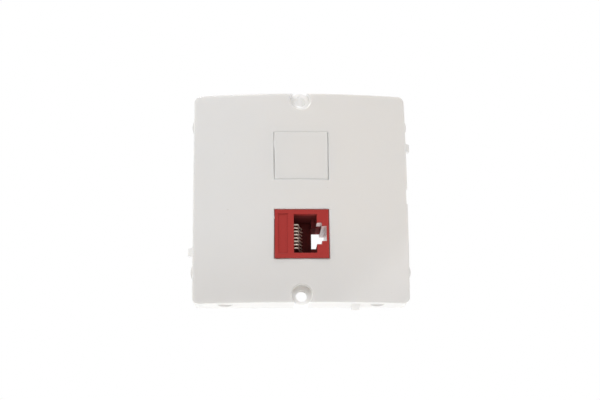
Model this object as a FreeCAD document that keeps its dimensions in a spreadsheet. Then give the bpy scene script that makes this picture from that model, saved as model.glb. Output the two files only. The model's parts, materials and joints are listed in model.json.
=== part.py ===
import FreeCAD, Part
import math
import os

import Sketcher
from FreeCAD import Placement, Rotation, Vector

# Ethernet wall socket: a crowned plate for a flush box, with two openings for snap-in
# modules. The lower one holds an eight-contact network jack, turned a quarter turn, and
# the upper one a plain blank.
# Millimetres. X runs to the right, Z up and Y into the wall. The origin is midway between
# the two wall screws, on the plane where the plate meets the wall.
# Each piece is drawn in a frame of its own, whose front lies at depth 0 with depth along Y.

CONTACTS = 8
TERMINALS_IN_ROW = 4
ROWS = 2
SIDES = 4

SIZES = [
    # Face plate
    ("plate_side", 64.4, "width and height of the square face"),
    ("plate_depth", 13.2, "from the crown of the face to the wall"),
    ("plate_corner", 2.0, "outside corner radius seen from the front"),
    ("skirt_corner", 0.8, "inside corner radius of the skirt"),
    ("rim_radius", 0.5, "rounding of the outer edge of the face and of the screw recesses"),
    ("face_wall", 1.9, "thickness of the crowned face"),
    ("skirt_wall", 1.8, "thickness of the skirt"),
    ("crown_across", 3.2, "drop of the face from its middle to the left and right edges"),
    ("crown_up", 2.0, "drop of the face from its middle to the top and bottom edges"),
    ("rib_wall", 1.0, "thickness of the ribs between receptacles and skirt"),
    ("rib_depth", 9.0, "depth of the back edge of the ribs behind the crown"),
    # Screw places
    ("screw_spacing", 60.0, "between the two wall screws"),
    ("screw_bore", 3.4, "diameter of the screw holes"),
    ("cup_bore", 6.0, "diameter of the recess for a screw head"),
    ("cup_floor", 4.2, "depth of the recess floor behind the crown"),
    ("cup_wall", 1.0, "wall round and under the recess"),
    ("tube_wall", 1.0, "wall of the tube behind the recess"),
    ("tube_depth", 7.2, "depth of the back end of the tube behind the crown"),
    # Catches and pips for a frame that snaps over the plate
    ("catch_offset", 16.2, "from the middle of a side to its catch"),
    ("catch_width", 2.4, "width of a catch along the side"),
    ("catch_height", 1.45, "how far a catch stands out"),
    ("catch_start", 5.8, "depth of the front of a catch behind the crown"),
    ("catch_ramp", 1.6, "length of the slope of a catch"),
    ("catch_flat", 1.4, "length of the flat top of a catch"),
    ("pip_offset", 22.5, "from the middle of a side to each snap pip"),
    ("pip_width", 4.5, "width of a snap pip along the side"),
    ("pip_height", 0.6, "how far a snap pip stands out"),
    ("pip_start", 6.6, "depth of the front of a snap pip behind the crown"),
    ("pip_length", 1.6, "length of a snap pip along the depth"),
    ("notch_width", 4.8, "height of the pry notch in the right side"),
    ("notch_bite", 0.4, "how far the pry notch bites into the side"),
    ("notch_depth", 8.0, "depth of the pry notch behind the crown"),
    # Openings for the modules
    ("window_spacing", 23.85, "between the middles of the two openings"),
    ("window_shift", 0.15, "from the middle of the plate to the middle of an opening"),
    ("window_width", 16.3, "opening across, from hook to latch"),
    ("window_height", 14.8, "opening in height"),
    ("window_rim", 0.3, "rounding of the edge of an opening"),
    ("receptacle_depth", 10.2, "depth of the back edge of a receptacle behind the crown"),
    ("receptacle_wall", 1.2, "wall of a receptacle"),
    ("hook_pocket", 1.6, "depth of the pocket for the fixed hook"),
    ("latch_pocket", 2.6, "depth of the pocket for the flexible latch"),
    ("pocket_near", 6.0, "front of both pockets behind the module face"),
    ("pocket_far", 8.2, "back of both pockets behind the module face"),
    # Front and snap parts shared by both modules
    ("module_gap", 0.12, "clearance left and right between a module and its opening"),
    ("module_gap_up", 0.05, "clearance above and below a module in its opening"),
    ("module_setback", 0.35, "module face behind the crown of the plate"),
    ("module_rim", 0.3, "rounding of the front edge of a module"),
    ("flange_wall", 2.2, "thickness of the front of a module"),
    ("snap_width", 8.0, "width of the fixed hook and of the flexible latch"),
    ("hook_height", 1.35, "how far the hook and the barb stand out"),
    ("lever_wall", 1.1, "thickness of the flexible latch"),
    ("lever_gap", 1.7, "room for the latch to bend inwards"),
    ("tab_near", 10.6, "front of the finger tab behind the module face"),
    ("tab_length", 1.8, "length of the finger tab"),
    ("tab_height", 2.0, "how far the finger tab stands out"),
    # Blank
    ("blank_depth", 9.6, "depth of the walls of the blank"),
    ("blank_wall", 1.2, "thickness of the walls of the blank"),
    # Jack housing
    ("port_left", 2.35, "from the middle of the jack to the contact side of the port"),
    ("port_right", 4.45, "from the middle of the jack to the latch side of the port"),
    ("port_height", 11.64, "height of the port"),
    ("step_one", 5.92, "from the middle of the jack to the first step of the notch"),
    ("step_one_height", 6.48, "height of the first step"),
    ("step_two", 7.31, "from the middle of the jack to the second step"),
    ("step_two_height", 4.56, "height of the second step"),
    ("shoulder_near", 7.5, "depth where the port narrows on its latch side"),
    ("shoulder_right", 3.05, "from the middle of the jack to the narrowed side"),
    ("housing_depth", 16.7, "depth of the part of the housing round the port"),
    ("port_wall", 0.95, "wall between the port and the channel of the carrier"),
    ("label_gap", 1.86, "from the port to the label recess"),
    ("label_side", 1.1, "from the label recess to the side of the module face"),
    ("label_end", 1.35, "from the label recess to the top and bottom of the module face"),
    ("label_bite", 0.35, "depth of the label recess"),
    ("port_rim", 0.15, "rounding of the edges of the port and the label recess"),
    ("shelf_wall", 3.0, "thickness of the shelf behind the port"),
    ("tray_bite", 2.2, "depth of the hollow in the shelf"),
    ("tray_rim", 0.9, "rim round the hollow in the shelf"),
    # Contacts and their carrier
    ("contact_pitch", 1.02, "between two contacts"),
    ("contact_wire", 0.5, "diameter of a contact wire"),
    ("wire_bend", 0.5, "radius of the turn of a contact inside the port, to its middle"),
    ("bend_depth", 4.3, "depth where a contact enters the port"),
    ("bend_reach", 1.4, "how far a contact enters before it turns back"),
    ("knee_reach", 1.65, "how far the knee of a contact stands from the contact side"),
    ("knee_depth", 7.7, "depth of the knee"),
    ("tip_reach", 2.7, "how far the free end stands from the contact side"),
    ("tip_room", 1.6, "from the free end of a contact to the foot of the comb"),
    ("slot_room", 0.5, "room round the contacts where they enter the port"),
    ("carrier_wall", 1.9, "thickness of the comb"),
    ("foot_wall", 4.2, "thickness of the foot of the comb, which closes the port"),
    ("foot_lip", 0.25, "how far the foot reaches into the notch"),
    ("carrier_margin", 1.3, "comb beside the outermost contacts"),
    ("fit_gap", 0.05, "clearance round parts that slide together"),
    ("tail_proud", 0.6, "how far soldered ends stand out of the board"),
    ("tail_near", 1.6, "from the back of the port housing to the first row of tails"),
    ("tail_stagger", 1.9, "between the two rows of tails"),
    # Circuit board
    ("board_wall", 1.2, "thickness of the circuit board"),
    ("board_gap", 0.2, "between the circuit board and the port housing"),
    ("tail_hole", 0.7, "diameter of the board holes for the contacts"),
    ("pin_hole", 1.0, "diameter of the board holes for the terminals"),
    # Terminals, their block and the caps
    ("terminal_pitch", 3.3, "between two terminals"),
    ("block_margin", 0.3, "block beyond the outermost posts"),
    ("block_base", 2.5, "thickness of the base of the block"),
    ("cheek_wall", 0.9, "thickness of the cheeks of the block"),
    ("cheek_drop", 2.4, "how far the cheeks reach down beside the shelf"),
    ("tail_room", 1.0, "height of the hollow over the soldered tails"),
    ("tower_height", 6.0, "height of the posts"),
    ("row_inset", 2.08, "from the side of the module to the middle of a row of terminals"),
    ("row_width", 3.8, "width of a row of posts"),
    ("wire_slot", 1.3, "width of a slot for a wire"),
    ("wire_slot_depth", 5.0, "depth of a slot for a wire"),
    ("slot_mouth", 2.1, "width of the mouth of a slot for a wire"),
    ("mouth_depth", 0.9, "depth of the mouth"),
    ("blade_width", 2.4, "width of a terminal blade"),
    ("blade_wall", 0.5, "thickness of a terminal blade"),
    ("blade_gap", 0.1, "clearance round a blade in its pocket"),
    ("blade_top", 0.9, "tip of a blade below the top of the posts"),
    ("fork_slot", 0.4, "width of the slot in a blade"),
    ("fork_mouth", 1.2, "width of the mouth of that slot"),
    ("fork_depth", 4.2, "depth of the slot in a blade"),
    ("pin_width", 0.7, "width of the pin under a blade"),
    ("cap_wall", 0.8, "wall of a wire cap"),
    ("cap_gap", 0.1, "clearance between a cap and the posts"),
    ("cap_drop", 3.4, "how far the sides of a cap reach down over the posts"),
]

LAYOUT = [
    ("half_side", "=plate_side / 2"),
    ("across_radius", "=(half_side ^ 2 + crown_across ^ 2) / (2 * crown_across)"),
    ("up_radius", "=(half_side ^ 2 + crown_up ^ 2) / (2 * crown_up)"),
    ("crown_reach", "=half_side + plate_corner"),
    ("crown_angle", "=2 * asin(crown_reach / (up_radius - plate_depth))"),
    ("screw_up", "=screw_spacing / 2"),
    ("cup_outer", "=cup_bore / 2 + cup_wall"),
    ("tube_outer", "=screw_bore / 2 + tube_wall"),
    ("root", "=half_side - skirt_wall / 2"),
    ("pip_radius", "=(pip_width ^ 2 / 4 + pip_height ^ 2) / (2 * pip_height)"),
    ("pip_centre", "=half_side + pip_height - pip_radius"),
    ("module_up", "=window_spacing / 2"),
    ("window_left", "=window_shift - window_width / 2"),
    ("window_right", "=window_shift + window_width / 2"),
    ("receptacle_left", "=window_left - latch_pocket - receptacle_wall"),
    ("receptacle_right", "=window_right + hook_pocket + receptacle_wall"),
    ("module_side", "=window_width / 2 - module_gap"),
    ("module_top", "=window_height / 2 - module_gap_up"),
    ("port_end_wall", "=module_top - port_height / 2"),
    ("module_round", "=min(module_rim; port_end_wall / 3)"),
    ("port_round", "=min(port_rim; port_end_wall / 3)"),
    ("snap_near", "=pocket_near + module_gap"),
    ("snap_far", "=pocket_far - module_gap"),
    ("lever_inside", "=module_side - lever_wall"),
    ("body_top", "=port_left + port_wall + carrier_wall"),
    ("blank_top", "=lever_inside - lever_gap"),
    ("channel_floor", "=port_left + port_wall"),
    ("outer_contact", f"={CONTACTS - 1} * contact_pitch / 2"),
    ("comb_half", "=outer_contact + carrier_margin"),
    ("slot_half", "=outer_contact + slot_room"),
    ("wire_line", "=channel_floor + contact_wire / 2 + fit_gap"),
    ("port_depth", "=housing_depth - foot_wall"),
    ("tip_depth", "=port_depth - tip_room"),
    ("block_near", "=housing_depth + board_gap"),
    ("block_far", f"=block_near + {TERMINALS_IN_ROW} * terminal_pitch + 2 * block_margin"),
    ("first_terminal", "=block_near + block_margin + terminal_pitch / 2"),
    ("board_top", "=body_top + board_wall"),
    ("base_top", "=board_top + block_base"),
    ("tower_top", "=base_top + tower_height"),
    ("row_middle", "=module_top - row_inset"),
    ("row_inside", "=row_middle - row_width / 2"),
    ("row_outside", "=row_middle + row_width / 2"),
    ("block_side", "=module_top + fit_gap + cheek_wall"),
]

doc = FreeCAD.newDocument("ethernet_wall_socket")
dim = doc.addObject("Spreadsheet::Sheet", "dim")
pieces = []


def fill_sheet():
    """Write each driving size, then each size worked out from them, under its own name."""
    row = 0
    for alias, value, note in SIZES:
        row += 1
        dim.set(f"A{row}", note)
        dim.set(f"B{row}", str(value))
        dim.setAlias(f"B{row}", alias)
    for alias, formula in LAYOUT:
        row += 1
        dim.set(f"B{row}", formula)
        dim.setAlias(f"B{row}", alias)
    doc.recompute()


def number(expression):
    """The present value of an expression of the sheet."""
    return float(dim.evalExpression(expression))


# Sketches, with every point and radius bound to the sheet


def new_sketch(body, name, role, level="0"):
    """A sketch parallel to one of the body's own planes, a distance along its normal."""
    plane = next(item for item in body.Origin.OriginFeatures if item.Role == role)
    sketch = body.newObject("Sketcher::SketchObject", name)
    sketch.AttachmentSupport = [(plane, "")]
    sketch.MapMode = "FlatFace"
    sketch.AttachmentOffset = Placement(Vector(0, 0, number(level)), Rotation())
    sketch.setExpression("AttachmentOffset.Base.z", level)
    return sketch


def bind(sketch, kind, element, expression):
    """Tie a distance from the sketch's origin, or a radius, to an expression."""
    first = (-1, 1) if kind.startswith("Distance") else ()
    constraint = Sketcher.Constraint(kind, *first, *element, number(expression))
    index = sketch.addConstraint(constraint)
    sketch.setExpression(f"Constraints[{index}]", expression)


def bind_point(sketch, edge, end, across, up):
    bind(sketch, "DistanceX", (edge, end), across)
    bind(sketch, "DistanceY", (edge, end), up)


def polygon(sketch, corners):
    """A closed ring of straight lines, each corner an (across, up) pair."""
    points = [Vector(number(across), number(up), 0) for across, up in corners]
    first = sketch.GeometryCount
    for start, end, corner in zip(points, points[1:] + points[:1], corners):
        line = sketch.addGeometry(Part.LineSegment(start, end))
        bind_point(sketch, line, 1, *corner)
        if line > first:
            sketch.addConstraint(Sketcher.Constraint("Coincident", line - 1, 2, line, 1))
    sketch.addConstraint(Sketcher.Constraint("Coincident", line, 2, first, 1))


def rectangle(sketch, left, right, low, high):
    polygon(sketch, [(left, low), (right, low), (right, high), (left, high)])


def rectangle_about(sketch, middle, half_width, half_height):
    """A rectangle whose middle is an (across, up) pair."""
    across, up = middle
    rectangle(
        sketch,
        f"{across} - {half_width}",
        f"{across} + {half_width}",
        f"{up} - {half_height}",
        f"{up} + {half_height}",
    )


def circle(sketch, across, up, radius):
    centre = Vector(number(across), number(up), 0)
    edge = sketch.addGeometry(Part.Circle(centre, Vector(0, 0, 1), number(radius)))
    bind_point(sketch, edge, 3, across, up)
    bind(sketch, "Radius", (edge,), radius)


def rounded_square(sketch, half, radius):
    """A square about the origin with round corners."""
    side = number(half)
    bend = number(radius)
    first = sketch.GeometryCount
    turn = Rotation(Vector(0, 0, 1), 90)
    start = Vector(bend - side, -side, 0)
    end = Vector(side - bend, -side, 0)
    centre = Vector(side - bend, bend - side, 0)
    middle = centre + Vector(bend, -bend, 0) * 0.5 ** 0.5
    finish = Vector(side, bend - side, 0)
    for _ in range(4):
        sketch.addGeometry(Part.LineSegment(start, end))
        sketch.addGeometry(Part.Arc(end, middle, finish))
        start, end, middle, finish = (turn.multVec(p) for p in (start, end, middle, finish))
    for corner in range(4):
        line = first + 2 * corner
        arc = line + 1
        following = first + (2 * corner + 2) % 8
        sketch.addConstraint(Sketcher.Constraint("Tangent", line, 2, arc, 1))
        sketch.addConstraint(Sketcher.Constraint("Tangent", arc, 2, following, 1))
        flat = "Vertical" if corner % 2 else "Horizontal"
        sketch.addConstraint(Sketcher.Constraint(flat, line))
        bind(sketch, "Radius", (arc,), radius)
    for corner, kind, sign in ((0, "DistanceY", "-"), (1, "DistanceX", ""),
                               (2, "DistanceY", ""), (3, "DistanceX", "-")):
        bind(sketch, kind, (first + 2 * corner, 1), f"{sign}{half}")


def sketch_point(across, up):
    return Vector(number(across), number(up), 0)


def bent_line(sketch, before, turn, after, radius):
    """Straight runs from place to place, with an arc in place of the corner at the turn."""
    start = [sketch_point(*place) for place in before]
    corner = sketch_point(*turn)
    end = [sketch_point(*place) for place in after]
    inwards, outwards = (corner - start[-1]).normalize(), (end[0] - corner).normalize()
    size = number(radius)
    setback = size * math.tan(inwards.getAngle(outwards) / 2)
    bisector = (outwards - inwards).normalize()
    middle = corner + bisector * (math.hypot(size, setback) - size)
    touch, leave = corner - inwards * setback, corner + outwards * setback
    first_part = run(sketch, start + [touch], before)
    arc = sketch.addGeometry(Part.Arc(touch, middle, leave))
    forward = sketch.getPoint(arc, 1).distanceToPoint(touch) < setback
    near_end, far_end = (1, 2) if forward else (2, 1)
    line, following = first_part[-1], sketch.GeometryCount
    last_part = run(sketch, [leave] + end, [None] + after)
    bind_point(sketch, last_part[-1], 2, *after[-1])
    mark = sketch.addGeometry(Part.Point(corner), True)
    bind_point(sketch, mark, 1, *turn)
    sketch.addConstraint(Sketcher.Constraint("PointOnObject", mark, 1, line))
    sketch.addConstraint(Sketcher.Constraint("PointOnObject", mark, 1, following))
    sketch.addConstraint(Sketcher.Constraint("Tangent", line, 2, arc, near_end))
    sketch.addConstraint(Sketcher.Constraint("Tangent", arc, far_end, following, 1))
    bind(sketch, "Radius", (arc,), radius)


def run(sketch, points, places):
    """Joined straight lines through points, each start bound to its place if it has one."""
    lines = []
    for start, end, place in zip(points, points[1:], places):
        line = sketch.addGeometry(Part.LineSegment(start, end))
        if place:
            bind_point(sketch, line, 1, *place)
        if lines:
            sketch.addConstraint(Sketcher.Constraint("Coincident", lines[-1], 2, line, 1))
        lines.append(line)
    return lines


def arc_between(sketch, centre, radius, left, right):
    """An arc on the low side of its centre, from one (across, up) end to the other."""
    middle = Vector(number(centre[0]), number(centre[1]), 0)
    size = number(radius)
    ends = [Vector(number(across), number(up), 0) for across, up in (left, right)]
    edge = sketch.addGeometry(Part.Arc(ends[0], middle - Vector(0, size, 0), ends[1]))
    bind_point(sketch, edge, 3, *centre)
    bind(sketch, "Radius", (edge,), radius)
    return edge


# Features


def new_body(name, across="0", depth="0", up="0"):
    """A body whose front stands at a place in the plate's frame."""
    body = doc.addObject("PartDesign::Body", name)
    body.Label = name
    for axis, expression in (("x", across), ("y", depth), ("z", up)):
        body.setExpression(f"Placement.Base.{axis}", expression)
    pieces.append(body)
    return body


def add(body, name, draw, near, far):
    """A prism with its outline in the plane of the face, between two depths."""
    sketch = new_sketch(body, f"{name}_outline", "XZ_Plane", f"-({far})")
    draw(sketch)
    return pad(body, name, sketch, f"({far}) - ({near})")


def cut(body, name, draw, near, far):
    """The same prism taken away."""
    sketch = new_sketch(body, f"{name}_outline", "XZ_Plane", f"-({near})")
    draw(sketch)
    return pocket(body, name, sketch, f"({far}) - ({near})")


def add_side(body, name, draw, width, up="0"):
    """A prism with its outline seen from above, of a width along Z about a height."""
    sketch = new_sketch(body, f"{name}_outline", "XY_Plane", up)
    draw(sketch)
    feature = pad(body, name, sketch, width)
    feature.SideType = "Symmetric"
    return feature


def cut_side(body, name, draw, width):
    """The same prism taken away, about the middle."""
    sketch = new_sketch(body, f"{name}_outline", "XY_Plane")
    draw(sketch)
    feature = pocket(body, name, sketch, width)
    feature.SideType = "Symmetric"
    return feature


def cut_down(body, name, draw, right, left):
    """A prism taken away along X, its outline given by depth and height."""
    sketch = new_sketch(body, f"{name}_outline", "YZ_Plane", right)
    draw(sketch)
    return pocket(body, name, sketch, f"({right}) - ({left})")


def pad(body, name, sketch, length):
    feature = body.newObject("PartDesign::Pad", name)
    feature.Profile = sketch
    feature.setExpression("Length", length)
    return feature


def pocket(body, name, sketch, length):
    feature = body.newObject("PartDesign::Pocket", name)
    feature.Profile = sketch
    feature.setExpression("Length", length)
    return feature


def round_edges(body, name, edges, radius):
    """A fillet along edges of the body's last shape."""
    base = body.Tip
    names = [
        f"Edge{place}"
        for place, edge in enumerate(base.Shape.Edges, start=1)
        if any(edge.isSame(wanted) for wanted in edges)
    ]
    feature = body.newObject("PartDesign::Fillet", name)
    feature.Base = (base, names)
    feature.setExpression("Radius", radius)
    doc.recompute()
    return feature


def repeat_on_sides(body, name, feature):
    """Repeat a feature of the bottom side on all four sides."""
    axis = next(item for item in body.Origin.OriginFeatures if item.Role == "Y_Axis")
    pattern = body.newObject("PartDesign::PolarPattern", name)
    pattern.Originals = [feature]
    pattern.Axis = (axis, [""])
    pattern.Angle = 360
    pattern.Occurrences = SIDES
    body.Tip = pattern
    doc.recompute()
    return pattern


# Face plate


def crown_section(sketch, near_radius, far_radius):
    """The section of the crowned face between two radii about the same centre."""
    left, right = "-dim.crown_reach", "dim.crown_reach"
    centre = ("0", "dim.across_radius")
    arcs = []
    for radius in (near_radius, far_radius):
        drop = f"dim.across_radius - sqrt(({radius}) ^ 2 - dim.crown_reach ^ 2)"
        arcs.append(arc_between(sketch, centre, radius, (left, drop), (right, drop)))
        bind(sketch, "DistanceX", (arcs[-1], 1), left)
        bind(sketch, "DistanceX", (arcs[-1], 2), right)
    close_section(sketch, *arcs)
    crown_axis(sketch)


def close_section(sketch, near_arc, far_arc):
    """Straight ends between the matching ends of two arcs."""
    for end in (1, 2):
        start = sketch.getPoint(near_arc, end)
        finish = sketch.getPoint(far_arc, end)
        line = sketch.addGeometry(Part.LineSegment(start, finish))
        sketch.addConstraint(Sketcher.Constraint("Coincident", line, 1, near_arc, end))
        sketch.addConstraint(Sketcher.Constraint("Coincident", line, 2, far_arc, end))


def crown_axis(sketch):
    """The axis that the section turns about, behind the plate and along X."""
    ends = [("-dim.crown_reach", "dim.up_radius"), ("dim.crown_reach", "dim.up_radius")]
    points = [Vector(number(across), number(up), 0) for across, up in ends]
    line = sketch.addGeometry(Part.LineSegment(*points), True)
    bind_point(sketch, line, 1, *ends[0])
    bind_point(sketch, line, 2, *ends[1])


def turn_section(body, kind, name, near_radius, far_radius):
    """Add or take away the crown section, turned about its axis."""
    sketch = new_sketch(body, f"{name}_section", "XY_Plane")
    crown_section(sketch, near_radius, far_radius)
    feature = body.newObject(kind, name)
    feature.Profile = sketch
    feature.ReferenceAxis = (sketch, ["Axis0"])
    feature.Midplane = True
    feature.setExpression("Angle", "dim.crown_angle")
    return feature


def crown_face(shape):
    """The crowned front, which is the largest face that is curved both ways."""
    plain = (Part.Plane, Part.Cylinder)
    curved = [face for face in shape.Faces if not isinstance(face.Surface, plain)]
    return max(curved, key=lambda face: face.Area)


def at_screws(radius):
    def draw(sketch):
        circle(sketch, "0", "dim.screw_up", radius)
        circle(sketch, "0", "-dim.screw_up", radius)
    return draw


def at_windows(left, right, half_height):
    def draw(sketch):
        for middle in ("dim.module_up", "-dim.module_up"):
            rectangle(sketch, left, right, f"{middle} - {half_height}", f"{middle} + {half_height}")
    return draw


def outside_plate(sketch):
    rounded_square(sketch, "dim.half_side", "dim.plate_corner")
    rounded_square(sketch, "dim.plate_side", "dim.plate_corner")


def skirt_ring(sketch):
    rounded_square(sketch, "dim.half_side", "dim.plate_corner")
    rounded_square(sketch, "(dim.half_side - dim.skirt_wall)", "dim.skirt_corner")


def ribs(sketch):
    half_rib = "dim.rib_wall / 2"
    for middle in ("dim.module_up", "-dim.module_up"):
        low = f"{middle} - {half_rib}"
        high = f"{middle} + {half_rib}"
        rectangle(sketch, "-dim.root", f"dim.receptacle_left + {half_rib}", low, high)
        rectangle(sketch, f"dim.receptacle_right - {half_rib}", "dim.root", low, high)


def catch(sketch):
    top = "dim.catch_start + dim.catch_ramp"
    polygon(sketch, [
        ("dim.catch_start", "-dim.root"),
        ("dim.catch_start", "-dim.half_side"),
        (top, "-dim.half_side - dim.catch_height"),
        (f"{top} + dim.catch_flat", "-dim.half_side - dim.catch_height"),
        (f"{top} + dim.catch_flat", "-dim.root"),
    ])


def pips(sketch):
    """Two shallow round segments rooted in the middle of the skirt wall."""
    reach = "sqrt(dim.pip_radius ^ 2 - (dim.root - dim.pip_centre) ^ 2)"
    for middle in ("dim.pip_offset", "-dim.pip_offset"):
        left = (f"{middle} - {reach}", "-dim.root")
        right = (f"{middle} + {reach}", "-dim.root")
        arc = arc_between(sketch, (middle, "-dim.pip_centre"), "dim.pip_radius", left, right)
        bind(sketch, "DistanceY", (arc, 1), "-dim.root")
        bind(sketch, "DistanceY", (arc, 2), "-dim.root")
        ends = [sketch.getPoint(arc, end) for end in (1, 2)]
        line = sketch.addGeometry(Part.LineSegment(*ends))
        sketch.addConstraint(Sketcher.Constraint("Coincident", line, 1, arc, 1))
        sketch.addConstraint(Sketcher.Constraint("Coincident", line, 2, arc, 2))


def face_plate():
    body = new_body("face_plate", depth="-dim.plate_depth")
    in_front = "-dim.plate_depth"
    behind = "2 * dim.plate_depth"
    # A band thicker than the face, trimmed to the plate's outline
    inner_radius = "(dim.across_radius - dim.face_wall)"
    outer_radius = "(dim.across_radius + dim.face_wall)"
    turn_section(body, "PartDesign::Revolution", "crowned_band", outer_radius, inner_radius)
    add(body, "screw_cups", at_screws("dim.cup_outer"), "0", "dim.cup_floor + dim.cup_wall")
    cut(body, "outline_trim", outside_plate, in_front, behind)
    # Walls that run forward past the face until the crown is cut
    add(body, "skirt", skirt_ring, "0", "dim.plate_depth")
    half_receptacle = "(dim.window_height / 2 + dim.receptacle_wall)"
    block = at_windows("dim.receptacle_left", "dim.receptacle_right", half_receptacle)
    add(body, "receptacles", block, "0", "dim.receptacle_depth")
    add(body, "ribs", ribs, "0", "dim.rib_depth")
    front_radius = "(dim.across_radius + dim.plate_depth)"
    turn_section(body, "PartDesign::Groove", "crown", front_radius, "dim.across_radius")
    window = at_windows("dim.window_left", "dim.window_right", "dim.window_height / 2")
    cut(body, "windows", window, in_front, behind)
    cut(body, "cup_recesses", at_screws("dim.cup_bore / 2"), in_front, "dim.cup_floor")
    doc.recompute()
    round_plate_edges(body)
    module_pockets(body)
    screw_holes(body)
    side_details(body)


def round_plate_edges(body):
    crown = crown_face(body.Tip.Shape)
    round_edges(body, "outer_rim", crown.OuterWire.Edges, "dim.rim_radius")
    crown = crown_face(body.Tip.Shape)
    openings = [wire for wire in crown.Wires if not wire.isSame(crown.OuterWire)]
    window_edges = [edge for wire in openings for edge in wire.Edges]
    round_edges(body, "window_rims", window_edges, "dim.window_rim")


def module_pockets(body):
    """Pockets in both end walls of a receptacle, for the hook and the latch."""
    left = "dim.window_left - dim.latch_pocket"
    right = "dim.window_right + dim.hook_pocket"
    near = "dim.module_setback + dim.pocket_near"
    far = "dim.module_setback + dim.pocket_far"
    cut(body, "snap_pockets", at_windows(left, right, "dim.window_height / 2"), near, far)


def screw_holes(body):
    """Tubes behind the recesses and the holes through them."""
    in_front = "-dim.plate_depth"
    add(body, "screw_tubes", at_screws("dim.tube_outer"), "dim.cup_floor", "dim.tube_depth")
    cut(body, "screw_holes", at_screws("dim.screw_bore / 2"), in_front, "2 * dim.plate_depth")


def side_details(body):
    """Catches, snap pips and the pry notch on the outside of the skirt."""
    edge = new_sketch(body, "catch_outline", "YZ_Plane", "dim.catch_offset - dim.catch_width / 2")
    catch(edge)
    one_catch = pad(body, "catch", edge, "dim.catch_width")
    repeat_on_sides(body, "catches", one_catch)
    two_pips = add(body, "pip_pair", pips, "dim.pip_start", "dim.pip_start + dim.pip_length")
    repeat_on_sides(body, "pips", two_pips)

    def notch(sketch):
        half = "dim.notch_width / 2"
        rectangle(sketch, "dim.half_side - dim.notch_bite", "dim.plate_side", f"-{half}", half)

    cut(body, "pry_notch", notch, "0", "dim.notch_depth")


# What both modules share


def new_module_piece(name, up, depth="0", across="0"):
    """A body in the frame of the module whose middle is at a height."""
    return new_body(
        name,
        f"dim.window_shift + {across}",
        f"dim.module_setback - dim.plate_depth + {depth}",
        up,
    )


def module_front(body):
    """The flush front with its edge rounded."""

    def face(sketch):
        rectangle_about(sketch, ("0", "0"), "dim.module_side", "dim.module_top")

    add(body, "front", face, "0", "dim.flange_wall")
    doc.recompute()
    front = min(body.Tip.Shape.Faces, key=lambda side: side.CenterOfMass.y)
    round_edges(body, "front_rim", front.Edges, "dim.module_round")


def module_snaps(body):
    """The fixed hook on the right and the flexible latch on the left."""
    overlap = "dim.flange_wall / 2"

    def hook(sketch):
        polygon(sketch, [
            (f"dim.module_side - {overlap}", "dim.snap_near"),
            ("dim.module_side", "dim.snap_near"),
            ("dim.module_side + dim.hook_height", "dim.snap_far - dim.hook_height / 2"),
            ("dim.module_side + dim.hook_height", "dim.snap_far"),
            (f"dim.module_side - {overlap}", "dim.snap_far"),
        ])

    def latch(sketch):
        tab_far = "dim.tab_near + dim.tab_length"
        polygon(sketch, [
            ("-dim.lever_inside", overlap),
            ("-dim.lever_inside", tab_far),
            ("-dim.module_side - dim.tab_height", tab_far),
            ("-dim.module_side - dim.tab_height", f"{tab_far} - dim.lever_wall"),
            ("-dim.module_side", "dim.tab_near"),
            ("-dim.module_side", "dim.snap_far"),
            ("-dim.module_side - dim.hook_height", "dim.snap_far"),
            ("-dim.module_side", "dim.snap_near"),
            ("-dim.module_side", overlap),
        ])

    add_side(body, "hook", hook, "dim.snap_width")
    add_side(body, "latch", latch, "dim.snap_width")


# Blank


def blank_insert():
    body = new_module_piece("blank_insert", "dim.module_up")

    def box(sketch):
        rectangle(sketch, "-dim.blank_top", "dim.module_side", "-dim.module_top", "dim.module_top")

    def hollow(sketch):
        left = "dim.blank_wall - dim.blank_top"
        right = "dim.module_side - dim.blank_wall"
        high = "dim.module_top - dim.blank_wall"
        rectangle(sketch, left, right, f"-({high})", high)

    module_front(body)
    add(body, "walls", box, "dim.flange_wall", "dim.blank_depth")
    module_snaps(body)
    cut(body, "hollow", hollow, "dim.flange_wall", "dim.blank_depth")


# Jack housing


def port_cut(body, name, left, right, half_height, near, far):
    def draw(sketch):
        rectangle(sketch, left, right, f"-({half_height})", half_height)

    cut(body, name, draw, near, far)


def jack_housing():
    body = new_module_piece("jack_housing", "-dim.module_up")
    shelf_far = "dim.block_far"

    def block(sketch):
        rectangle(sketch, "-dim.body_top", "dim.module_side", "-dim.module_top", "dim.module_top")

    def shelf(sketch):
        low = "dim.shelf_wall - dim.body_top"
        rectangle(sketch, "-dim.body_top", low, "-dim.module_top", "dim.module_top")

    module_front(body)
    add(body, "port_block", block, "dim.flange_wall", "dim.housing_depth")
    add(body, "shelf", shelf, "dim.housing_depth", shelf_far)
    module_snaps(body)
    cut_port(body)
    cut_carrier_seat(body)
    port_cut(body, "label_recess", "dim.label_side - dim.module_side",
             "-(dim.port_left + dim.label_gap)", "dim.module_top - dim.label_end",
             "-dim.flange_wall", "dim.label_bite")
    port_cut(body, "tray", "-dim.body_top", "dim.tray_bite - dim.body_top",
             "dim.module_top - dim.tray_rim", "dim.housing_depth", f"{shelf_far} - dim.tray_rim")
    doc.recompute()
    front = min(body.Tip.Shape.Faces, key=lambda side: side.CenterOfMass.y)
    openings = [wire for wire in front.Wires if not wire.isSame(front.OuterWire)]
    round_edges(body, "port_rims", [edge for wire in openings for edge in wire.Edges],
                "dim.port_round")


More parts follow.
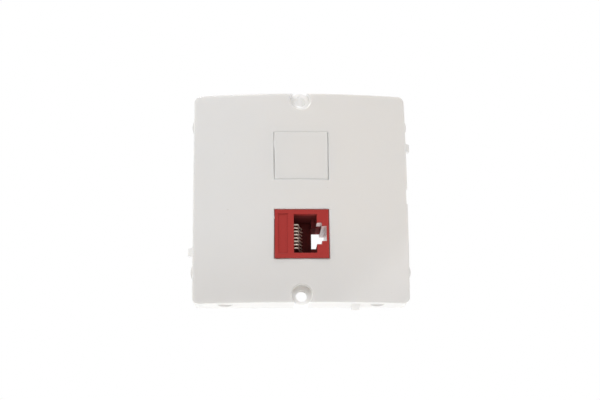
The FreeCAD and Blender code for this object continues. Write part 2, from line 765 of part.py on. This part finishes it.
def cut_port(body):
    """The port, narrowed on its latch side, and the stepped notch that runs right through."""
    front = "-dim.flange_wall"
    half_port = "dim.port_height / 2"
    port_cut(body, "port_mouth", "-dim.port_left", "dim.port_right", half_port,
             front, "dim.shoulder_near")
    port_cut(body, "port_inside", "-dim.port_left", "dim.shoulder_right", half_port,
             "dim.shoulder_near", "dim.housing_depth")
    port_cut(body, "notch_one", "0", "dim.step_one", "dim.step_one_height / 2",
             front, "dim.housing_depth")
    port_cut(body, "notch_two", "0", "dim.step_two", "dim.step_two_height / 2",
             front, "dim.housing_depth")


def cut_carrier_seat(body):
    """The channel for the comb, the slot where the wires enter and the way in for the foot."""
    entry_near = "dim.bend_depth - dim.contact_wire / 2 - dim.slot_room"
    entry_far = "dim.bend_depth + dim.contact_wire / 2 + dim.slot_room"
    port_cut(body, "comb_channel", "-dim.body_top", "-dim.channel_floor",
             "dim.comb_half + dim.fit_gap", entry_near, "dim.housing_depth")
    port_cut(body, "wire_entry", "-dim.channel_floor", "-dim.port_left",
             "dim.slot_half", entry_near, entry_far)
    port_cut(body, "foot_way", "-dim.channel_floor", "-dim.port_left",
             "dim.comb_half + dim.fit_gap", "dim.port_depth", "dim.housing_depth")


# Contacts and their carrier


def contact_height(index):
    return f"{index - (CONTACTS - 1) / 2} * dim.contact_pitch"


def tail_depth(index):
    return f"dim.housing_depth + dim.tail_near + {index % 2} * dim.tail_stagger"


def contact_carrier():
    body = new_module_piece("contact_carrier", "-dim.module_up")
    near = "dim.bend_depth - dim.contact_wire / 2 - dim.slot_room + dim.fit_gap"
    far = "dim.housing_depth - dim.fit_gap"

    def comb(sketch):
        rectangle(sketch, "-dim.body_top", "-dim.channel_floor", "-dim.comb_half", "dim.comb_half")

    def neck(sketch):
        right = "dim.fit_gap - dim.port_left"
        rectangle(sketch, "-dim.channel_floor", right, "-dim.comb_half", "dim.comb_half")

    def foot(sketch):
        high = "dim.port_height / 2 - dim.fit_gap"
        left = "dim.fit_gap - dim.port_left"
        rectangle(sketch, left, "dim.shoulder_right - dim.fit_gap", f"-({high})", high)

    def lip(sketch):
        left = "dim.fit_gap - dim.port_left"
        high = "dim.step_one_height / 2 - dim.fit_gap"
        rectangle(sketch, left, "dim.shoulder_right + dim.foot_lip", f"-({high})", high)

    def grooves(sketch):
        groove = "(dim.contact_wire / 2 + dim.fit_gap)"
        low = f"-(dim.wire_line + {groove})"
        for index in range(CONTACTS):
            bottom = f"{contact_height(index)} - {groove}"
            top = f"{contact_height(index)} + {groove}"
            rectangle(sketch, low, "-dim.channel_floor", bottom, top)

    foot_near = "dim.port_depth + dim.fit_gap"
    add(body, "comb", comb, near, far)
    add(body, "neck", neck, foot_near, far)
    add(body, "foot", foot, foot_near, far)
    add(body, "lip", lip, foot_near, far)
    cut(body, "grooves", grooves, near, far)
    # The wires leave the front of the comb through this step
    port_cut(body, "wire_step", "-(dim.wire_line + dim.contact_wire / 2 + dim.fit_gap)",
             "-dim.channel_floor", "dim.slot_half", near,
             "dim.bend_depth + dim.contact_wire / 2 + dim.fit_gap")


def contact(index):
    """A round wire: tail through the board, forward over the port, in and back."""
    name = f"contact_{index + 1}"
    body = new_module_piece(name, f"{contact_height(index)} - dim.module_up")
    tail_tip = "-(dim.board_top + dim.tail_proud)"
    tail = tail_depth(index)
    path = new_sketch(body, f"{name}_path", "XY_Plane")
    outside = [(tail_tip, tail), ("-dim.wire_line", tail), ("-dim.wire_line", "dim.bend_depth")]
    turn = ("dim.bend_reach - dim.port_left", "dim.bend_depth")
    inside = [
        ("dim.knee_reach - dim.port_left", "dim.knee_depth"),
        ("dim.tip_reach - dim.port_left", "dim.tip_depth"),
    ]
    bent_line(path, outside, turn, inside, "dim.wire_bend")
    section = new_sketch(body, f"{name}_section", "YZ_Plane", tail_tip)
    circle(section, tail, "0", "dim.contact_wire / 2")
    wire = body.newObject("PartDesign::AdditivePipe", f"{name}_wire")
    wire.Profile = section
    wire.Spine = path
    wire.Transition = "Right corner"


# Circuit board


def circuit_board():
    body = new_module_piece("circuit_board", "-dim.module_up")

    def board(sketch):
        rectangle(sketch, "-dim.board_top", "-dim.body_top", "-dim.module_top", "dim.module_top")

    def tail_holes(sketch):
        for index in range(CONTACTS):
            circle(sketch, tail_depth(index), contact_height(index), "dim.tail_hole / 2")

    def pin_holes(sketch):
        for place in range(TERMINALS_IN_ROW):
            for side in ("dim.row_middle", "-dim.row_middle"):
                circle(sketch, terminal_depth(place), side, "dim.pin_hole / 2")

    add(body, "board", board, "dim.block_near", "dim.block_far")
    cut_down(body, "tail_holes", tail_holes, "-dim.body_top", "-dim.board_top")
    cut_down(body, "pin_holes", pin_holes, "-dim.body_top", "-dim.board_top")


# Terminal block, its blades and the wire caps


def terminal_depth(place):
    return f"dim.first_terminal + {place} * dim.terminal_pitch"


def terminal_block():
    body = new_module_piece("terminal_block", "-dim.module_up")
    near, far = "dim.block_near", "dim.block_far"

    def base(sketch):
        rectangle(sketch, "-dim.base_top", "-dim.board_top", "-dim.block_side", "dim.block_side")

    def cheeks(sketch):
        low = "dim.cheek_drop - dim.body_top"
        inside = "dim.module_top + dim.fit_gap"
        rectangle(sketch, "-dim.base_top", low, inside, "dim.block_side")
        rectangle(sketch, "-dim.base_top", low, "-dim.block_side", f"-({inside})")

    def rows(sketch):
        rectangle(sketch, "-dim.tower_top", "-dim.base_top", "dim.row_inside", "dim.row_outside")
        rectangle(sketch, "-dim.tower_top", "-dim.base_top", "-dim.row_outside", "-dim.row_inside")

    def wire_slots(sketch):
        half, mouth = "dim.wire_slot / 2", "dim.slot_mouth / 2"
        top = "-dim.tower_top"
        for place in range(TERMINALS_IN_ROW):
            middle = terminal_depth(place)
            polygon(sketch, [
                (f"{top} - dim.mouth_depth", f"{middle} - {mouth}"),
                (top, f"{middle} - {mouth}"),
                (f"{top} + dim.mouth_depth", f"{middle} - {half}"),
                (f"{top} + dim.wire_slot_depth", f"{middle} - {half}"),
                (f"{top} + dim.wire_slot_depth", f"{middle} + {half}"),
                (f"{top} + dim.mouth_depth", f"{middle} + {half}"),
                (top, f"{middle} + {mouth}"),
                (f"{top} - dim.mouth_depth", f"{middle} + {mouth}"),
            ])

    def blade_pockets(sketch):
        along = "(dim.blade_width / 2 + dim.blade_gap)"
        across = "(dim.blade_wall / 2 + dim.blade_gap)"
        for place in range(TERMINALS_IN_ROW):
            for side in ("dim.row_middle", "-dim.row_middle"):
                rectangle_about(sketch, (terminal_depth(place), side), along, across)

    add(body, "base", base, near, far)
    add(body, "cheeks", cheeks, near, far)
    add(body, "rows", rows, near, far)
    tails_far = f"{tail_depth(1)} + dim.tail_hole"
    port_cut(body, "tail_hollow", "-(dim.board_top + dim.tail_room)", "-dim.board_top",
             "dim.slot_half", near, tails_far)
    cut_side(body, "wire_slots", wire_slots, "2 * dim.block_side")
    cut_down(body, "blade_pockets", blade_pockets, "-dim.board_top", "-dim.tower_top")


def terminal(index):
    """A forked blade with a pin that goes through the board."""
    side = "dim.row_middle" if index < TERMINALS_IN_ROW else "-dim.row_middle"
    depth = terminal_depth(index % TERMINALS_IN_ROW)
    body = new_module_piece(f"terminal_{index + 1}", f"{side} - dim.module_up", depth)
    half_blade, half_pin = "dim.blade_width / 2", "dim.pin_width / 2"
    half_slot, half_mouth = "dim.fork_slot / 2", "dim.fork_mouth / 2"
    foot = "-dim.board_top"
    tip = "dim.blade_top - dim.tower_top"

    def fork(sketch):
        polygon(sketch, [
            ("dim.tail_proud - dim.body_top", f"-{half_pin}"),
            (foot, f"-{half_pin}"),
            (foot, f"-{half_blade}"),
            (tip, f"-{half_blade}"),
            (tip, f"-{half_mouth}"),
            (f"{tip} + dim.mouth_depth", f"-{half_slot}"),
            (f"{tip} + dim.fork_depth", f"-{half_slot}"),
            (f"{tip} + dim.fork_depth", half_slot),
            (f"{tip} + dim.mouth_depth", half_slot),
            (tip, half_mouth),
            (tip, half_blade),
            (foot, half_blade),
            (foot, half_pin),
            ("dim.tail_proud - dim.body_top", half_pin),
        ])

    add_side(body, "fork", fork, "dim.blade_wall")


def wire_cap(index):
    """A cap pressed over one row of posts, with a notch for each wire."""
    middle = "dim.row_middle" if index == 0 else "-dim.row_middle"
    body = new_module_piece(f"wire_cap_{index + 1}", f"{middle} - dim.module_up")
    half_row = "dim.row_width / 2 + dim.cap_gap"
    low = "dim.cap_drop - dim.tower_top"

    def shell(sketch):
        top = "-(dim.tower_top + dim.cap_gap + dim.cap_wall)"
        high = f"{half_row} + dim.cap_wall"
        rectangle(sketch, top, low, f"-({high})", high)

    def hollow(sketch):
        rectangle(sketch, "-(dim.tower_top + dim.cap_gap)", low, f"-({half_row})", half_row)

    def notches(sketch):
        top = "dim.mouth_depth - dim.tower_top"
        half = "dim.wire_slot / 2"
        for place in range(TERMINALS_IN_ROW):
            depth = terminal_depth(place)
            rectangle(sketch, top, low, f"{depth} - {half}", f"{depth} + {half}")

    near, far = "dim.block_near - dim.cap_gap", "dim.block_far + dim.cap_gap"
    add(body, "shell", shell, f"{near} - dim.cap_wall", f"{far} + dim.cap_wall")
    cut(body, "hollow", hollow, near, far)
    cut_side(body, "notches", notches, f"2 * ({half_row} + 2 * dim.cap_wall)")


# Build, check and write


def build():
    face_plate()
    blank_insert()
    jack_housing()
    contact_carrier()
    for index in range(CONTACTS):
        contact(index)
    circuit_board()
    terminal_block()
    for index in range(ROWS * TERMINALS_IN_ROW):
        terminal(index)
    for index in range(ROWS):
        wire_cap(index)
    doc.recompute()


def check():
    """Stop if any object failed or any piece is not one sound solid."""
    for item in doc.Objects:
        if "Invalid" in item.State or "Error" in item.State:
            raise RuntimeError(f"{item.Name} failed: {item.State}")
    for body in pieces:
        shape = body.Shape
        if shape.isNull() or not shape.isValid() or len(shape.Solids) != 1:
            raise RuntimeError(f"{body.Label} is not one sound solid")


def write():
    os.makedirs("parts", exist_ok=True)
    for body in pieces:
        body.Shape.exportStep(f"parts/{body.Label}.step")
        print(f"{body.Label} {body.Shape.Volume:.1f} mm3")


fill_sheet()
build()
check()
write()
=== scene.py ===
import json
import math

import bpy
from mathutils import Matrix, Vector

# An ethernet wall socket: white crowned plate, plain blank above, red network jack below.
# Metres. X runs to the right, Z up and Y into the wall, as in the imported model.

MM = 0.001

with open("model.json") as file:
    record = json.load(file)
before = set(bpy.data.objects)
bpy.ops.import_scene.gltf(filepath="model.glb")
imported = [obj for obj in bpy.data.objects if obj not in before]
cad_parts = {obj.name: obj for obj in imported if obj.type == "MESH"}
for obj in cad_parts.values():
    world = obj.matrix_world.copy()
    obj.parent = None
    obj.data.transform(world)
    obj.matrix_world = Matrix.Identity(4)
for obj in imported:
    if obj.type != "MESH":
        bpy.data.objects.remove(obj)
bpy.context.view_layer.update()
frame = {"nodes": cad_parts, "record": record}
nodes = frame["nodes"]


def rgb(red, green, blue):
    return (red, green, blue, 1.0)


WHITE = rgb(1, 1, 1)


# Shader maths


class Socket:
    """The output of a node, with arithmetic that adds Math nodes."""

    def __init__(self, finish, source):
        self.finish = finish
        self.source = source

    def __add__(self, other):
        return self.finish.maths("ADD", self, other)

    __radd__ = __add__

    def __sub__(self, other):
        return self.finish.maths("SUBTRACT", self, other)

    def __rsub__(self, other):
        return self.finish.maths("SUBTRACT", other, self)

    def __mul__(self, other):
        return self.finish.maths("MULTIPLY", self, other)

    __rmul__ = __mul__

    def __abs__(self):
        return self.finish.maths("ABSOLUTE", self)

    def above(self, edge, softness):
        """0 below the edge and 1 above it, with a soft step between."""
        return self.finish.node(
            "ShaderNodeMapRange",
            {"interpolation_type": "SMOOTHSTEP"},
            {"Value": self, "From Min": edge - softness, "From Max": edge + softness},
        )

    def below(self, edge, softness):
        return 1 - self.above(edge, softness)

    def within(self, low, high, softness):
        """1 between two edges and 0 past either."""
        return self.above(low, softness) * self.below(high, softness)


class Finish:
    """The node tree of one material or of the world."""

    def __init__(self, owner):
        owner.use_nodes = True
        self.tree = owner.node_tree
        self.tree.nodes.clear()

    def node(self, kind, settings=None, sockets=None, output=0):
        """A node with its settings, then the values or links of its sockets."""
        made = self.tree.nodes.new(kind)
        for name, value in (settings or {}).items():
            setattr(made, name, value)
        for name, value in (sockets or {}).items():
            if isinstance(value, Socket):
                self.tree.links.new(value.source, made.inputs[name])
            else:
                made.inputs[name].default_value = value
        return Socket(self, made.outputs[output]) if made.outputs else None

    def maths(self, operation, first, second=0):
        return self.node("ShaderNodeMath", {"operation": operation}, {0: first, 1: second})

    def distance(self, first, second):
        """The distance of a point that lies so far along each of two square directions."""
        return self.maths("SQRT", first * first + second * second)

    def blend(self, factor, first, second):
        """One colour changing into another."""
        sockets = {"Factor": factor, "A": first, "B": second}
        return self.node("ShaderNodeMix", {"data_type": "RGBA"}, sockets, output=2)

    def axes(self, vector):
        """The X, Y and Z of a vector."""
        return [
            self.node("ShaderNodeSeparateXYZ", sockets={0: vector}, output=axis) for axis in range(3)
        ]

    def place(self):
        """The X, Y and Z of the surface point, in metres."""
        return self.axes(self.node("ShaderNodeTexCoord", output="Object"))

    def facing(self):
        """The X, Y and Z of the surface's own direction."""
        return self.axes(self.node("ShaderNodeNewGeometry", output="Normal"))

    def noise(self, size, detail, stretch=(1, 1, 1)):
        """Soft noise whose patches are about a size across, 0 to 1."""
        spot = self.node("ShaderNodeTexCoord", output="Object")
        scale = [1 / (size * part) for part in stretch]
        spot = self.node("ShaderNodeMapping", sockets={"Vector": spot, "Scale": scale})
        sockets = {"Vector": spot, "Scale": 1.0, "Detail": detail}
        return self.node("ShaderNodeTexNoise", sockets=sockets)

    def bump(self, height, distance, strength):
        sockets = {"Height": height, "Distance": distance, "Strength": strength}
        return self.node("ShaderNodeBump", sockets=sockets)

    def surface(self, sockets):
        shader = self.node("ShaderNodeBsdfPrincipled", sockets=sockets)
        self.node("ShaderNodeOutputMaterial", sockets={"Surface": shader})


def new_material(name):
    material = bpy.data.materials.new(name)
    return material, Finish(material)


# Materials

PLASTIC_IOR = 1.5

# Softness of a crisp change of tone, and how far past a wall's face its tone still counts
CRISP = 0.1 * MM
MARGIN = 0.1 * MM

# The plate: largest Y of a front surface's direction, screw recesses, how much dirt shows, how dark
# the painted shadow in the bottom recess is
FRONT_FACING = -0.7
SCREW_HEIGHT = 30 * MM
RECESS_RADIUS = 3.1 * MM
SPECK_STRENGTH = 0.25
RECESS_SHADOW_STRENGTH = 0.42

# The jack: its face, its port and the stepped notch on the right of the port
MODULE_FACE = -12.85 * MM
PORT_LEFT = -2.2 * MM
PORT_RIGHT = 4.6 * MM
PORT_HEIGHT = -11.925 * MM
PORT_HALF = 5.82 * MM
NOTCH_RIGHT = 7.46 * MM
NOTCH_HALF = 3.24 * MM
INNER_STEP = 2.28 * MM
SHOULDER = 7.5 * MM
# Strength of the painted pale glow at the front of the notch
NOTCH_GLOW_STRENGTH = 0.5


def white_moulding():
    """Glossy in front and plainer elsewhere; the front is painted darker and the other faces whiter,
    painted shade for the weaker light from the front.

    The screw recesses are painted whiter, painted light that lifts the shade in these hollows, with
    painted shadow in the upper half of the bottom one.
    """
    material, finish = new_material("white_moulding")
    across, _, up = finish.place()
    _, towards_wall, _ = finish.facing()
    from_screw = finish.distance(across, abs(up) - SCREW_HEIGHT)
    recess = from_screw.below(RECESS_RADIUS, CRISP)
    # In the screw recesses the front mostly takes the lighter tone: painted light there.
    front = towards_wall.below(FRONT_FACING, 0.15) * (1 - 0.75 * recess)
    # Painted shadow under the upper edge of the bottom screw recess.
    recess_shadow = from_screw.below(RECESS_RADIUS + 2 * MARGIN, 2 * CRISP)
    recess_shadow = recess_shadow * up.within(MM - SCREW_HEIGHT, 0, MM)
    clouds = finish.noise(16 * MM, 3)
    grain = finish.noise(0.35 * MM, 2)
    specks = finish.noise(0.8 * MM, 1).above(0.815, 0.015)

    # Lit side tone: painted light for the brighter light from the sides and below.
    lit_side_tone = finish.blend(clouds, rgb(0.79, 0.783, 0.766), rgb(0.81, 0.804, 0.789))
    # Painted light: the screw recesses painted whiter than the plate.
    lit_side_tone = finish.blend(recess, lit_side_tone, rgb(0.90, 0.89, 0.875))
    # Warmer towards the right: painted warm light from the right.
    to_right = across.above(-6 * MM, 22 * MM)
    shaded_front_tone = finish.blend(to_right, rgb(0.690, 0.683, 0.675), rgb(0.708, 0.686, 0.660))
    shaded_front_tone = finish.blend(clouds * 0.3, shaded_front_tone, rgb(0.735, 0.712, 0.690))
    # Darker towards the bottom: painted shade for the light falling from above.
    shaded_front_tone = finish.blend(up.below(-20 * MM, 14 * MM), shaded_front_tone, rgb(0.655, 0.640, 0.626))
    # Front faces get the shaded front tone and other faces the lit side tone: painted shade and
    # painted light by facing.
    tone = finish.blend(front, lit_side_tone, shaded_front_tone)
    tone = finish.blend(specks * front * SPECK_STRENGTH, tone, rgb(0.45, 0.40, 0.35))
    tone = finish.blend(recess_shadow * RECESS_SHADOW_STRENGTH, tone, rgb(0.40, 0.365, 0.325))

    finish.surface({
        "Base Color": tone,
        "Roughness": 0.34 - 0.2 * front + 0.03 * clouds,
        "Subsurface Weight": 0.5,
        "Subsurface Radius": (1.0, 0.94, 0.86),
        "Subsurface Scale": 2.2 * MM,
        "IOR": PLASTIC_IOR,
        "Normal": finish.bump(grain, 0.004 * MM, 0.35),
    })
    return material


def red_moulding():
    """Satin in front, with painted shade deep in the port, where it is also rougher, and a painted
    pale glow at the mouth of the notch.
    """
    material, finish = new_material("red_moulding")
    across, depth, up = finish.place()
    behind_face = depth - MODULE_FACE
    height = abs(up - PORT_HEIGHT)
    in_port = height.below(PORT_HALF + MARGIN, CRISP)
    in_port = in_port * across.within(PORT_LEFT - 3 * MARGIN, PORT_RIGHT + MARGIN, CRISP)
    in_notch = height.below(NOTCH_HALF + MARGIN, CRISP)
    in_notch = in_notch * across.within(PORT_RIGHT, NOTCH_RIGHT + MARGIN, CRISP)
    port_shade = in_port * behind_face.above(2.0 * MM, 1.4 * MM)
    deep = behind_face.above(0.7 * SHOULDER, 0.6 * MM)
    deep = deep * height.above(INNER_STEP + 3 * MARGIN, CRISP)
    notch_glow = in_notch * (1 - deep) * behind_face.above(4 * MARGIN, 2 * CRISP)
    clouds = finish.noise(5 * MM, 3)
    grain = finish.noise(0.12 * MM, 3)

    tone = finish.blend(clouds, rgb(0.330, 0.024, 0.020), rgb(0.363, 0.029, 0.024))
    # Painted shade: the port's walls darker deeper behind the face.
    tone = finish.blend(port_shade, tone, rgb(0.175, 0.026, 0.025))
    # Painted glow: the front of the notch painted pale pink.
    tone = finish.blend(notch_glow * NOTCH_GLOW_STRENGTH, tone, rgb(0.96, 0.60, 0.54))

    finish.surface({
        "Base Color": tone,
        "Roughness": 0.34 + 0.08 * grain + 0.4 * port_shade + 0.4 * deep,
        "IOR": PLASTIC_IOR,
        "Specular IOR Level": 0.28,
        "Coat Weight": notch_glow,
        "Coat Roughness": 0.2,
        "Normal": finish.bump(grain, 0.006 * MM, 0.5),
    })
    return material


def plain_moulding(name, tone, darker, roughness, shine=0.5):
    """Plain plastic of one colour with a fine grain."""
    material, finish = new_material(name)
    clouds = finish.noise(4 * MM, 3)
    grain = finish.noise(0.15 * MM, 3)
    finish.surface({
        "Base Color": finish.blend(clouds, rgb(*darker), rgb(*tone)),
        "Roughness": roughness + 0.1 * grain,
        "IOR": PLASTIC_IOR,
        "Specular IOR Level": shine,
        "Normal": finish.bump(grain, 0.006 * MM, 0.6),
    })
    return material


def plated(name, tone, worn, metal):
    """Bright plating with fine lines along its length."""
    material, finish = new_material(name)
    lines = finish.noise(0.08 * MM, 2, stretch=(1, 30, 1))
    patches = finish.noise(1.2 * MM, 2)
    finish.surface({
        "Base Color": finish.blend(patches, rgb(*tone), rgb(*worn)),
        "Metallic": metal,
        "Roughness": 0.24 + 0.12 * lines,
        "Normal": finish.bump(lines, 0.004 * MM, 0.5),
    })
    return material


def board_laminate():
    """Green solder resist on both faces and raw laminate along the edges."""
    material, finish = new_material("board_laminate")
    across, _, _ = finish.facing()
    faces = abs(across).above(0.6, 0.1)
    weave = finish.noise(0.5 * MM, 2, stretch=(1, 1, 4))
    resist = finish.blend(weave, rgb(0.020, 0.115, 0.045), rgb(0.030, 0.150, 0.060))
    raw = finish.blend(weave, rgb(0.42, 0.33, 0.16), rgb(0.55, 0.45, 0.24))
    finish.surface({
        "Base Color": finish.blend(faces, raw, resist),
        "Roughness": 0.62 - 0.34 * faces,
        "Normal": finish.bump(weave, 0.01 * MM, 0.4),
    })
    return material


PLATE_WHITE = white_moulding()

# Two tones each: the main one, then a darker or worn one
COMB_RED = ((0.17, 0.022, 0.020), (0.13, 0.017, 0.016))
BLOCK_BLACK = ((0.036, 0.036, 0.038), (0.026, 0.026, 0.028))
CAP_WHITE = ((0.74, 0.74, 0.72), (0.70, 0.70, 0.68))
GOLD = ((1.0, 0.91, 0.80), (1.0, 0.86, 0.72))
TIN = ((0.78, 0.77, 0.74), (0.66, 0.65, 0.62))

FINISHES = {
    "plate": PLATE_WHITE,
    "blank": PLATE_WHITE,
    "jack": red_moulding(),
    "carrier": plain_moulding("comb_moulding", *COMB_RED, roughness=0.5, shine=0.15),
    "contacts": plated("gold_plating", *GOLD, metal=0.35),
    "board": board_laminate(),
    "block": plain_moulding("block_moulding", *BLOCK_BLACK, roughness=0.42),
    "terminals": plated("tin_plating", *TIN, metal=1.0),
    "caps": plain_moulding("cap_moulding", *CAP_WHITE, roughness=0.36),
}

SMOOTH_ANGLE = math.radians(28)


def dress_nodes():
    """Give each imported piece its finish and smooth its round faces."""
    for subpart in frame["record"]["subparts"]:
        mesh = nodes[subpart["node"]].data
        mesh.materials.clear()
        mesh.materials.append(FINISHES[subpart["material_slot"]])
        mesh.shade_smooth()
        mesh.set_sharp_from_angle(angle=SMOOTH_ANGLE)


# Camera, solved from the photograph

PHOTO_WIDTH = 600
PHOTO_FOCAL = 1161.949
SENSOR = 36.0
CAMERA_PLACE = Vector((-13.5247, -347.2727, -85.0942)) * MM
CAMERA_RIGHT = Vector((0.99926731, -0.03709012, -0.00944291))
CAMERA_FORWARD = Vector((0.03827277, 0.96965792, 0.24145125))

scene = bpy.context.scene


def add_object(name, data):
    made = bpy.data.objects.new(name, data)
    scene.collection.objects.link(made)
    return made


def add_camera():
    data = bpy.data.cameras.new("camera")
    data.sensor_width = SENSOR
    data.lens = SENSOR * PHOTO_FOCAL / PHOTO_WIDTH
    data.clip_start = 10 * MM
    camera = add_object("camera", data)
    up = CAMERA_RIGHT.cross(CAMERA_FORWARD)
    turn = Matrix((CAMERA_RIGHT, up, -CAMERA_FORWARD)).transposed()
    camera.matrix_world = Matrix.Translation(CAMERA_PLACE) @ turn.to_4x4()
    scene.camera = camera


# Light and floor

# Strength of the soft light: everywhere, more towards +Y, from all sides, and near +Y alone
WORLD_EVEN = 0.325
WORLD_TILT = 0.20
WORLD_SIDES = 0.50
WORLD_BEHIND = 0.95

# The floor fades out round the distance from its middle whose square is FADE_SQUARE
FLOOR_LEVEL = -120 * MM
FLOOR_HALF = 1.5
FLOOR_CORNERS = [(-1, -1), (1, -1), (1, 1), (-1, 1)]
FADE_SQUARE = 0.5
FADE_SOFTNESS = 0.4


def add_world():
    """White to the eye and in reflections, and a soft light that is weakest from the front."""
    world = bpy.data.worlds.new("studio")
    scene.world = world
    finish = Finish(world)
    towards = finish.node("ShaderNodeTexCoord", output="Generated")
    _, depth, _ = finish.axes(towards)
    sideways = 1 - depth * depth
    behind = depth.above(0.80, 0.12)
    level = WORLD_EVEN + WORLD_TILT * depth + WORLD_SIDES * sideways + WORLD_BEHIND * behind
    soft = finish.node("ShaderNodeBackground", sockets={"Color": WHITE, "Strength": level})
    white = finish.node("ShaderNodeBackground", sockets={"Color": WHITE, "Strength": 1.0})
    camera_ray, glossy_ray, clear_ray = [
        finish.node("ShaderNodeLightPath", output=name)
        for name in ("Is Camera Ray", "Is Glossy Ray", "Is Transmission Ray")
    ]
    shown = finish.maths("MINIMUM", camera_ray + glossy_ray + clear_ray, 1.0)
    mixed = finish.node("ShaderNodeMixShader", sockets={0: shown, 1: soft, 2: white})
    finish.node("ShaderNodeOutputWorld", sockets={"Surface": mixed})


def add_floor():
    """A pale square, clear at its edges."""
    mesh = bpy.data.meshes.new("floor")
    spots = [(FLOOR_HALF * x, FLOOR_HALF * y, FLOOR_LEVEL) for x, y in FLOOR_CORNERS]
    mesh.from_pydata(spots, [], [range(len(spots))])
    material, finish = new_material("floor_white")
    mottle = finish.noise(60 * MM, 2)
    across, along, _ = finish.place()
    far = (across * across + along * along).above(FADE_SQUARE, FADE_SOFTNESS)
    finish.surface({
        "Base Color": finish.blend(mottle, rgb(0.93, 0.93, 0.925), rgb(0.95, 0.95, 0.945)),
        "Roughness": 0.9,
        "Emission Color": WHITE,
        "Emission Strength": 0.16,
        "Alpha": 1 - far,
    })
    mesh.materials.append(material)
    add_object("floor", mesh)


def add_lamp(name, place, width, height, power, roll=0.0, colour=(1, 1, 1)):
    """An area lamp that faces the object, rolled about its own direction."""
    data = bpy.data.lights.new(name, "AREA")
    data.shape = "RECTANGLE"
    data.size = width
    data.size_y = height
    data.energy = power
    data.color = colour
    lamp = add_object(name, data)
    turn = (-Vector(place)).to_track_quat("-Z", "Y").to_matrix().to_4x4()
    lamp.matrix_world = Matrix.Translation(place) @ turn @ Matrix.Rotation(roll, 4, "Z")


def add_lamps():
    """One large lamp, and a small one whose reflection brightens the lower right corner."""
    add_lamp("upper_left", place=(-0.26, -0.62, 0.88), width=0.5, height=0.5, power=5.9)
    add_lamp(
        "lower_right",
        place=(0.428, -0.9, -0.073),
        width=0.5,
        height=0.16,
        power=0.5,
        roll=math.radians(31.6),
        colour=(1, 0.97, 0.94),
    )


dress_nodes()
add_camera()
add_world()
add_floor()
add_lamps()
scene.view_settings.view_transform = "Standard"
